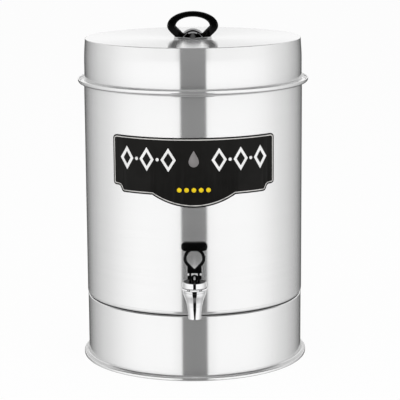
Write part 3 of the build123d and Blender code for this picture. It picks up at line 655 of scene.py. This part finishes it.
# ---------------------------------------------------------------- tap
TIP_Z = spout_low.z
BODY_TOP = spout_high.z
BONNET_Z = bonnet_low.z
SHOULDER_Y = gasket_low.y
SHANK_IN_Y = spout_high.y
SHANK_R = 7.9 * MM
SHANK_BORE_R = 4.5 * MM
SHANK_END_Y = TAP_Y + 7.8 * MM
SHOULDER_R = 12.0 * MM
SHOULDER_FRONT = SHOULDER_Y - 3.0 * MM
OUTLET_R = 4.8 * MM
TIP_R = 6.75 * MM
VALVE_R = 7.4 * MM
NECK_R = 10.9 * MM
BELL_TOP = BONNET_Z - 0.15 * MM
tap_centre = (0, TAP_Y, 0)
spout = turned("tap_spout", [
    (OUTLET_R, TIP_Z, 0.3 * MM),
    (TIP_R, TIP_Z, 0.4 * MM),
    (7.3 * MM, TIP_Z + 8.0 * MM, 6.0 * MM),
    (8.0 * MM, TAP_Z - 8.4 * MM, 5.0 * MM),
    (9.3 * MM, TAP_Z - 1.4 * MM, 5.0 * MM),
    (12.1 * MM, TAP_Z + 5.2 * MM, 3.0 * MM),
    (12.4 * MM, BELL_TOP, 0.2 * MM),
    (NECK_R, BELL_TOP, 0),
    (NECK_R, BODY_TOP, 0.3 * MM),
    (VALVE_R, BODY_TOP, 0.3 * MM),
    (VALVE_R, TAP_Z - 3.6 * MM, 0),
    (OUTLET_R, TAP_Z - 6.2 * MM, 0),
], centre=tap_centre, steps=SMALL_ROUND, segments=6, angle=40.0)
shank = turned("tap_shank", [
    (SHANK_BORE_R, SHANK_IN_Y, 0.2 * MM),
    (SHANK_R, SHANK_IN_Y, 0.6 * MM),
    (SHANK_R, SHOULDER_Y, 0),
    (SHOULDER_R, SHOULDER_Y, 0.5 * MM),
    (SHOULDER_R, SHOULDER_FRONT, 0.8 * MM),
    (SHANK_R, SHOULDER_FRONT, 1.2 * MM),
    (SHANK_R, SHANK_END_Y, 0),
    (SHANK_BORE_R, SHANK_END_Y, 0),
], centre=(0, 0, TAP_Z), along="Y", steps=SMALL_ROUND, angle=40.0)
spout = join("tap_spout", spout, shank)
place(spout, "tank", "chrome", chrome, "tap_body")

BONNET_TOP = bonnet_high.z
BONNET_HOLE_R = 11.0 * MM
INSERT_R = insert_high.x + 0.1 * MM
INSERT_SEAT_R = 8.9 * MM
INSERT_SEAT_Z = BODY_TOP + 1.9 * MM
WALL_R = 13.1 * MM
BEAD_Z = TAP_Z + 12.2 * MM
BEAD_R = 14.1 * MM
BEAD_EDGE_R = 14.0 * MM
BEAD_HALF = 1.1 * MM
BEAD_ROOT = 1.3 * MM
bonnet = turned("tap_bonnet_ring", [
    (BONNET_HOLE_R, BONNET_Z, 0),
    (12.5 * MM, BONNET_Z, 0.2 * MM),
    (13.0 * MM, BEAD_Z - BEAD_ROOT, 0.2 * MM),
    (BEAD_EDGE_R, BEAD_Z - BEAD_HALF, 0.5 * MM),
    (BEAD_R, BEAD_Z, 0.5 * MM),
    (BEAD_EDGE_R, BEAD_Z + BEAD_HALF, 0.5 * MM),
    (WALL_R, BEAD_Z + BEAD_ROOT, 0.2 * MM),
    (WALL_R, BEAD_Z + 4.0 * MM, 2.5 * MM),
    (12.85 * MM, BONNET_TOP, 0.4 * MM),
    (INSERT_R, BONNET_TOP, 0.15 * MM),
    (INSERT_R, INSERT_SEAT_Z, 0),
    (INSERT_SEAT_R, INSERT_SEAT_Z, 0),
    (INSERT_SEAT_R, BODY_TOP, 0),
    (BONNET_HOLE_R, BODY_TOP, 0),
], centre=tap_centre, steps=SMALL_ROUND, segments=4, angle=35.0)
place(bonnet, "tank", "chrome", chrome, "tap_bonnet")

# Knurl: every second station of the bead is pressed in.
KNURL_STEP = 2 * math.pi / SMALL_ROUND
KNURL_SHARE = 0.962
edit(bonnet)
pick(lambda point: abs(point.co.z - BEAD_Z) < BEAD_HALF + 0.05 * MM
     and math.hypot(point.co.x, point.co.y - TAP_Y) > WALL_R + 0.2 * MM
     and round(math.atan2(point.co.y - TAP_Y, point.co.x) / KNURL_STEP) % 2 == 0)
bpy.ops.transform.resize(
    value=(KNURL_SHARE, KNURL_SHARE, 1.0), center_override=(0, TAP_Y, BEAD_Z))
close_up(bonnet, 20.0)

# Stem: a round-topped head on a thin rod, with the pin's eye through it.
stem_low, stem_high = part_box("tap_stem")
pin_low, pin_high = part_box("tap_pivot_pin")
PIVOT_Z = (pin_low.z + pin_high.z) / 2
INSERT_TOP = insert_high.z
HEAD_R = stem_high.x
HEAD_LOW = INSERT_TOP + 0.3 * MM
ROD_R = 2.2 * MM
PIN_HOLE_R = 1.56 * MM
stem = turned("tap_stem_head", [
    (0, stem_low.z, 0),
    (ROD_R, stem_low.z, 0),
    (ROD_R, HEAD_LOW, 0),
    (HEAD_R, HEAD_LOW, 0.3 * MM),
    (HEAD_R, stem_high.z, 2.2 * MM),
    (0, stem_high.z, 0),
], centre=tap_centre, steps=48, segments=6, angle=40.0)
cut(stem, bar_along("X", PIN_HOLE_R, 3 * HEAD_R, (0, TAP_Y, PIVOT_Z), 32))
place(stem, "stem", "stem_steel", chrome, "tap_stem")


# ---------------------------------------------------------------- lever
EYE_Z = PIVOT_Z + 21.6 * MM
EYE_R = 11.75 * MM
EYE_HOLE_R = 8.35 * MM
EYE_HOLE_POINT = 12.3 * MM
NECK_HALF = 7.8 * MM
NECK_LOW = PIVOT_Z + 5.2 * MM
LEVER_HALF_DEEP = 3.1 * MM
FORK_OVERLAP = 1.5 * MM
BAR_Z = PIVOT_Z + 34.4 * MM
BAR_HALF = 14.2 * MM
BAR_THICK = 9.6 * MM
BAR_END_ROUND = 4.5 * MM
BAR_EDGE_ROUND = 1.9 * MM
EYE_STEPS = 48
EYE_ROUND = 1.0 * MM


def copy_of(name, node):
    """A node's mesh as a new piece, with its loose triangles merged."""
    piece = bpy.data.objects.new(name, nodes[node].data.copy())
    bpy.context.scene.collection.objects.link(piece)
    edit(piece)
    bpy.ops.mesh.select_all(action="SELECT")
    bpy.ops.mesh.remove_doubles(threshold=2e-6)
    bpy.ops.mesh.dissolve_limited(angle_limit=math.radians(1.0))
    return piece


def flat_form(name, front, depth):
    """Push a front drawn at the given depth through to the same depth behind."""
    piece = chain(name, [(x, TAP_Y - depth, z) for x, z in front])
    return push_through(piece, 2 * depth, 40.0)


def teardrop(radius, point_drop, steps=40):
    """Round eye that runs down to a point, as X and Z."""
    half = math.acos(radius / point_drop)
    sweep = 2 * math.pi - 2 * half
    run = []
    for step in range(steps + 1):
        angle = -math.pi / 2 + half + sweep * step / steps
        run.append((radius * math.cos(angle), EYE_Z + radius * math.sin(angle)))
    return run + [(0, EYE_Z - point_drop)]


def lever_eye():
    """Ring and neck with a teardrop hole, rounded along every rim."""
    half_neck = math.asin(NECK_HALF / EYE_R)
    sweep = 2 * math.pi - 2 * half_neck
    front = []
    for step in range(EYE_STEPS + 1):
        angle = -math.pi / 2 + half_neck + sweep * step / EYE_STEPS
        front.append((EYE_R * math.cos(angle), EYE_Z + EYE_R * math.sin(angle)))
    front += [(-NECK_HALF, NECK_LOW), (NECK_HALF, NECK_LOW)]
    eye = flat_form("lever_eye", front, LEVER_HALF_DEEP)
    cut(eye, flat_form(
        "lever_hole", teardrop(EYE_HOLE_R, EYE_HOLE_POINT), 2 * LEVER_HALF_DEEP))
    edit(eye)
    pick(lambda edge: edge.calc_face_angle(0) > 1.0 and runs_across(edge), "EDGE")
    bpy.ops.mesh.bevel(offset=EYE_ROUND, segments=4, affect="EDGES")
    return close_up(eye, 40.0)


def lever_bar():
    """Thumb bar with round ends."""
    deselect()
    bpy.ops.mesh.primitive_cube_add(size=1.0, location=(0, TAP_Y, BAR_Z))
    bar = bpy.context.object
    bar.scale = (2 * BAR_HALF, BAR_THICK, BAR_THICK)
    settle(bar)
    edit(bar)
    pick(lambda edge: not runs_across(edge), "EDGE")
    bpy.ops.mesh.bevel(offset=BAR_END_ROUND, segments=8, affect="EDGES", clamp_overlap=False)
    pick(lambda edge: runs_across(edge) and edge.calc_face_angle(0) > 1.0, "EDGE")
    bpy.ops.mesh.bevel(offset=BAR_EDGE_ROUND, segments=5, affect="EDGES", clamp_overlap=False)
    return close_up(bar, 40.0)


def lever_fork():
    """The cam-footed legs, kept from the solid below the neck."""
    fork = copy_of("lever_fork", "tap_lever")
    bpy.ops.mesh.select_all(action="SELECT")
    bpy.ops.mesh.bisect(
        plane_co=(0, 0, NECK_LOW + FORK_OVERLAP), plane_no=(0, 0, 1),
        use_fill=True, clear_outer=True)
    return close_up(fork)


lever = join("tap_lever_moulding", lever_eye(), lever_bar(), lever_fork())
place(lever, "lever", "black_plastic", black_plastic, "tap_lever")

# ---------------------------------------------------------------- label
LABEL_R = TANK_R + 0.65 * MM
LINE_INSET = 1.6 * MM
LINE_WIDE = 1.0 * MM
PRINT_LIFT = 0.05 * MM
PRINT_THICK = 0.08 * MM

# The solid plate is drawn too high on the tank.  The tank's shell stands in for it here, and the
# sign hangs this much lower and is a little taller.
SIGN_DROP = 21.4 * MM
SIGN_STRETCH = 1.0225


def sign_blank(name):
    """The plate's outline at the sign's height, left open in edit mode."""
    blank = copy_of(name, "front_label")
    middle_z = (label_low.z + label_high.z) / 2
    bpy.ops.mesh.select_all(action="SELECT")
    bpy.ops.transform.resize(value=(1.0, 1.0, SIGN_STRETCH), center_override=(0, 0, middle_z))
    bpy.ops.transform.translate(value=(0, 0, -SIGN_DROP))
    return blank


def label_border():
    """A light line that follows the plate's outline."""
    line = sign_blank("label_border")

    def outward(face):
        centre = face.calc_center_median()
        return face.normal.x * centre.x + face.normal.y * centre.y

    pick(lambda face: outward(face) < 0.9 * TANK_R, "FACE")
    bpy.ops.mesh.delete(type="FACE")
    for width in (LINE_INSET, LINE_WIDE):
        bpy.ops.mesh.select_mode(type="FACE")
        bpy.ops.mesh.select_all(action="SELECT")
        bpy.ops.mesh.inset(thickness=width, use_boundary=True, use_even_offset=True)
        if width == LINE_INSET:
            bpy.ops.mesh.select_all(action="INVERT")
        bpy.ops.mesh.delete(type="FACE")
    bpy.ops.mesh.select_all(action="SELECT")
    bpy.ops.mesh.subdivide(number_cuts=3)
    return print_on(line)


def print_on(piece):
    """Lay a thin form on the label's skin and give it the thickness of an ink film."""
    edit(piece)
    close_up(piece)
    deselect()
    bpy.ops.mesh.primitive_cylinder_add(
        vertices=1024, radius=LABEL_R + PRINT_LIFT, depth=label_high.z,
        location=(0, 0, label_high.z / 2))
    skin = bpy.context.object
    modify(piece, "SHRINKWRAP", target=skin, wrap_method="PROJECT", use_project_y=True,
           use_negative_direction=True, use_positive_direction=True)
    bpy.data.objects.remove(skin)
    edit(piece)
    bpy.ops.mesh.select_all(action="SELECT")
    bpy.ops.mesh.normals_make_consistent(inside=False)
    bpy.ops.object.mode_set(mode="OBJECT")
    if piece.data.polygons[0].normal.y > 0:
        piece.data.flip_normals()
    return modify(piece, "SOLIDIFY", thickness=PRINT_THICK, offset=1.0)


plate = close_up(sign_blank("label_plate"))
place(plate, "tank", "label_black", label_black)
border = label_border()
place(border, "tank", "label_black", label_line)

ROW_Z = 248.4 * MM
LOZENGE_HALF_WIDE = 8.6 * MM
LOZENGE_HALF_HIGH = 13.2 * MM
LOZENGES_AT = (28.0 * MM, 53.0 * MM, 78.0 * MM)
STROKE = 2.8 * MM
STUD_R = 1.9 * MM
STUDS_AT = (40.5 * MM, 65.5 * MM)
DROP_R = 5.6 * MM
DROP_Z = ROW_Z - 2.0 * MM
DROP_PULL = 7.0 * MM
DOT_ROW_Z = 215.4 * MM
DOT_R = 2.6 * MM
DOT_STEP = 8.0 * MM
FRONT_Y = -LABEL_R - 10 * MM


def flat_shape(across, height, corners, half_wide, half_high):
    """A regular flat shape in front of the label; across is measured along the label's skin."""
    turn = across / LABEL_R
    deselect()
    bpy.ops.mesh.primitive_circle_add(
        vertices=corners, radius=1.0, fill_type="NGON", rotation=(math.pi / 2, 0, 0),
        location=(LABEL_R * math.sin(turn), FRONT_Y, height))
    shape = bpy.context.object
    shape.scale = (half_wide * math.cos(turn), half_high, 1.0)
    return settle(shape)


def dot(across, height, radius):
    return flat_shape(across, height, 24, radius, radius)


def lozenge(across):
    """An open lozenge with a broad stroke."""
    shape = flat_shape(across, ROW_Z, 4, LOZENGE_HALF_WIDE, LOZENGE_HALF_HIGH)
    edit(shape)
    bpy.ops.mesh.select_all(action="SELECT")
    bpy.ops.mesh.inset(thickness=STROKE, use_boundary=True, use_even_offset=True)
    bpy.ops.mesh.delete(type="FACE")
    bpy.ops.mesh.select_all(action="SELECT")
    bpy.ops.mesh.subdivide(number_cuts=5)
    bpy.ops.object.mode_set(mode="OBJECT")
    return shape


def drop():
    """A round drop drawn up to a point."""
    shape = flat_shape(0.0, DROP_Z, 48, DROP_R, DROP_R)
    edit(shape)
    pick(near((0, FRONT_Y, DROP_Z + DROP_R)))
    bpy.ops.transform.translate(
        value=(0, 0, DROP_PULL), use_proportional_edit=True, proportional_edit_falloff="SHARP",
        proportional_size=1.5 * DROP_R)
    bpy.ops.object.mode_set(mode="OBJECT")
    return shape


lozenges = [lozenge(side * at) for side in (-1, 1) for at in LOZENGES_AT]
studs = [dot(side * at, ROW_Z, STUD_R) for side in (-1, 1) for at in STUDS_AT]
white_row = print_on(join("label_lozenges", *lozenges, *studs))
place(white_row, "tank", "label_black", label_white)
grey_drop = print_on(join("label_drop", drop()))
place(grey_drop, "tank", "label_black", label_grey)
dots = [dot(at * DOT_STEP, DOT_ROW_Z, DOT_R) for at in (-2, -1, 0, 1, 2)]
yellow_dots = print_on(join("label_dots", *dots))
place(yellow_dots, "tank", "label_black", label_yellow)

# ---------------------------------------------------------------- nodes that are kept
node_finish = {
    "tap_gasket_outer": silicone,
    "tap_gasket_inner": silicone,
    "tap_lock_nut": black_plastic,
    "tap_bonnet_insert": black_plastic,
    "tap_seat_cup": silicone,
    "tap_spring": bright_steel,
    "tap_pivot_pin": black_plastic,
    # The flange takes the darker steel copy, with its shade painted in.
    "basket_rim": shelf_steel_painted_shade,
    "basket_cage": inner_steel,
    "basket_mesh": wire_cloth,
    "basket_floor": inner_steel,
    "basket_floor_mesh": wire_cloth,
    "basket_lugs": inner_steel,
    "basket_handle_right": bright_steel,
    "basket_handle_left": bright_steel,
    "lid_handle_washer": bright_steel,
    "lid_handle_screw": bright_steel,
}
for name, finish in node_finish.items():
    nodes[name].data.materials.clear()
    nodes[name].data.materials.append(finish)


# ---------------------------------------------------------------- studio
# Brightness of the side screens at each turn from the viewer, in degrees.
SIDE_LEVELS = (
    (14, 1.0), (50, 1.0), (62, 0.99), (78, 0.92), (90, 0.81), (105, 0.66),
    (117, 0.56), (130, 0.42), (140, 0.31), (149, 0.18), (162, 0.03), (180, 0.0),
)

# Turns and heights in degrees where the surround changes.
GAP_HALF = 13.4
GAP_HALF_LOW = 24.0
GAP_LOW_FROM, GAP_LOW_TO = -25.0, 4.0
GAP_FLOOR = -50.0
SIDES_FLOOR = -45.0
FRONT_EDGE = 4.4
GLINT_HALF = 27.0
REAR_EDGE = 2.4
REAR_DIM = 14.0
REAR_TOP = 53.0
REAR_TURN = 102.0
LINTEL_FROM, LINTEL_TO = 80.0, 99.0
LINTEL_REACH = 0.52


def surround():
    """What the metal mirrors: white side screens, a gap towards the viewer, dark overhead."""
    world = bpy.context.scene.world or bpy.data.worlds.new("surround")
    bpy.context.scene.world = world
    world.use_nodes = True
    world.node_tree.nodes.clear()
    room = Nodes(world.node_tree)
    where = room.node("ShaderNodeTexCoord").outputs["Generated"]
    x, y, z = room.node("ShaderNodeSeparateXYZ", {0: where}).outputs
    toward = room.math("MULTIPLY", y, -1.0)
    turn = room.math("ABSOLUTE", room.math("DEGREES", room.math("ARCTAN2", x, toward)))
    height = room.math("DEGREES", room.math("ARCSINE", z))
    tilt = room.math("DEGREES", room.math("ARCTAN2", z, toward))

    ramp = room.node("ShaderNodeValToRGB", {0: room.math("DIVIDE", turn, 180.0)})
    stops = ramp.color_ramp.elements
    stops[0].position, stops[1].position = SIDE_LEVELS[0][0] / 180.0, 1.0
    for degrees, _ in SIDE_LEVELS[1:-1]:
        stops.new(degrees / 180.0)
    for stop, (degrees, level) in zip(stops, SIDE_LEVELS):
        stop.position = degrees / 180.0
        stop.color = grey(level)

    narrow = room.between(height, GAP_LOW_FROM, GAP_LOW_TO, 2.0)
    half_gap = room.spread(narrow, GAP_HALF_LOW, GAP_HALF)
    beside_gap = room.step(room.math("SUBTRACT", turn, half_gap), 0.0, 0.6)
    gap = room.blend(room.step(height, GAP_FLOOR, 6.0), grey(0.12), grey(0.006))
    sides = room.blend(room.step(height, SIDES_FLOOR, 17.0), grey(0.38), ramp.outputs[0])
    low = room.blend(beside_gap, gap, sides)
    glint = room.blend(room.step(turn, GLINT_HALF, 10.0), grey(0.12), grey(0.0))
    front = room.blend(room.step(height, FRONT_EDGE, 1.2), low, glint)
    rear = room.blend(room.step(height, REAR_DIM, 2.0), grey(0.97), grey(0.5))
    rear = room.blend(room.step(height, REAR_TOP, 3.0), rear, grey(0.0))
    rear = room.blend(room.step(height, REAR_EDGE, 0.8), low, rear)
    around = room.blend(room.step(turn, REAR_TURN, 5.0), front, rear)
    within = room.math("LESS_THAN", room.math("ABSOLUTE", x), LINTEL_REACH)
    lintel = room.math("MULTIPLY", room.between(tilt, LINTEL_FROM, LINTEL_TO, 2.0), within)
    mirrored = room.blend(lintel, around, grey(0.5))

    seen = room.node("ShaderNodeLightPath").outputs
    plain = room.blend(seen["Is Glossy Ray"], grey(0.5), mirrored)
    white = room.blend(seen["Is Camera Ray"], plain, grey(1.0))
    shade = room.node("ShaderNodeBackground", {0: white, 1: 1.0}).outputs[0]
    room.node("ShaderNodeOutputWorld", {0: shade})


FLOOR_SIZE = 24.0
FLOOR_GLOW = 0.95
LAMPS = (
    ("light_top", (0.0, -0.3, 2.2), 1.8, 12.0),
    ("light_left", (-1.3, -1.7, 1.2), 1.2, 9.0),
    ("light_right", (1.3, -1.7, 1.2), 1.2, 9.0),
)
LAMP_AIM = Vector((0, 0, 0.2))


def studio():
    """Pale floor and soft light from above and both sides."""
    deselect()
    bpy.ops.mesh.primitive_plane_add(size=FLOOR_SIZE, location=(0, 0, 0))
    floor = bpy.context.object
    floor.name = "floor"
    floor.visible_glossy = False
    finish = Finish("floor_pale", Roughness=0.9, Specular_IOR_Level=0.0)
    grain = finish.noise(finish.position(), 40.0)
    finish.into("Base Color", finish.blend(grain, grey(0.94), grey(0.97)))
    glow = finish.node("ShaderNodeEmission", {0: grey(1.0), 1: 1.0}).outputs[0]
    mixed = finish.node(
        "ShaderNodeMixShader", {0: FLOOR_GLOW, 1: finish.shader.outputs[0], 2: glow})
    finish.tree.links.new(mixed.outputs[0], finish.tree.nodes["Material Output"].inputs[0])
    floor.data.materials.append(finish.material)

    for name, place_at, size, power in LAMPS:
        lamp = bpy.data.lights.new(name, "AREA")
        lamp.size = size
        lamp.energy = power
        holder = bpy.data.objects.new(name, lamp)
        bpy.context.scene.collection.objects.link(holder)
        holder.location = place_at
        aim = LAMP_AIM - Vector(place_at)
        holder.rotation_euler = aim.to_track_quat("-Z", "Y").to_euler()
        holder.visible_glossy = False
        holder.visible_camera = False


surround()
studio()


# ---------------------------------------------------------------- camera
LENS = 154.9
SENSOR = 36.0
EYE = Vector((0.0, -1.96795, 0.56396))
YAW, PITCH, ROLL = (math.radians(angle) for angle in (0.2051, 11.0368, -0.381))


def camera():
    """Long lens from the front, a little above, with the fitted turn, dip and roll."""
    level = math.cos(PITCH)
    forward = Vector((math.sin(YAW) * level, math.cos(YAW) * level, -math.sin(PITCH)))
    right = Vector((math.cos(YAW), -math.sin(YAW), 0.0))
    up = right.cross(forward)
    right_rolled = math.cos(ROLL) * right + math.sin(ROLL) * up
    up_rolled = math.cos(ROLL) * up - math.sin(ROLL) * right
    data = bpy.data.cameras.new("camera")
    data.lens = LENS
    data.sensor_width = SENSOR
    holder = bpy.data.objects.new("camera", data)
    bpy.context.scene.collection.objects.link(holder)
    turn = Matrix((right_rolled, up_rolled, -forward)).transposed()
    holder.matrix_world = Matrix.Translation(EYE) @ turn.to_4x4()
    bpy.context.scene.camera = holder


camera()
bpy.context.scene.view_settings.view_transform = "Standard"
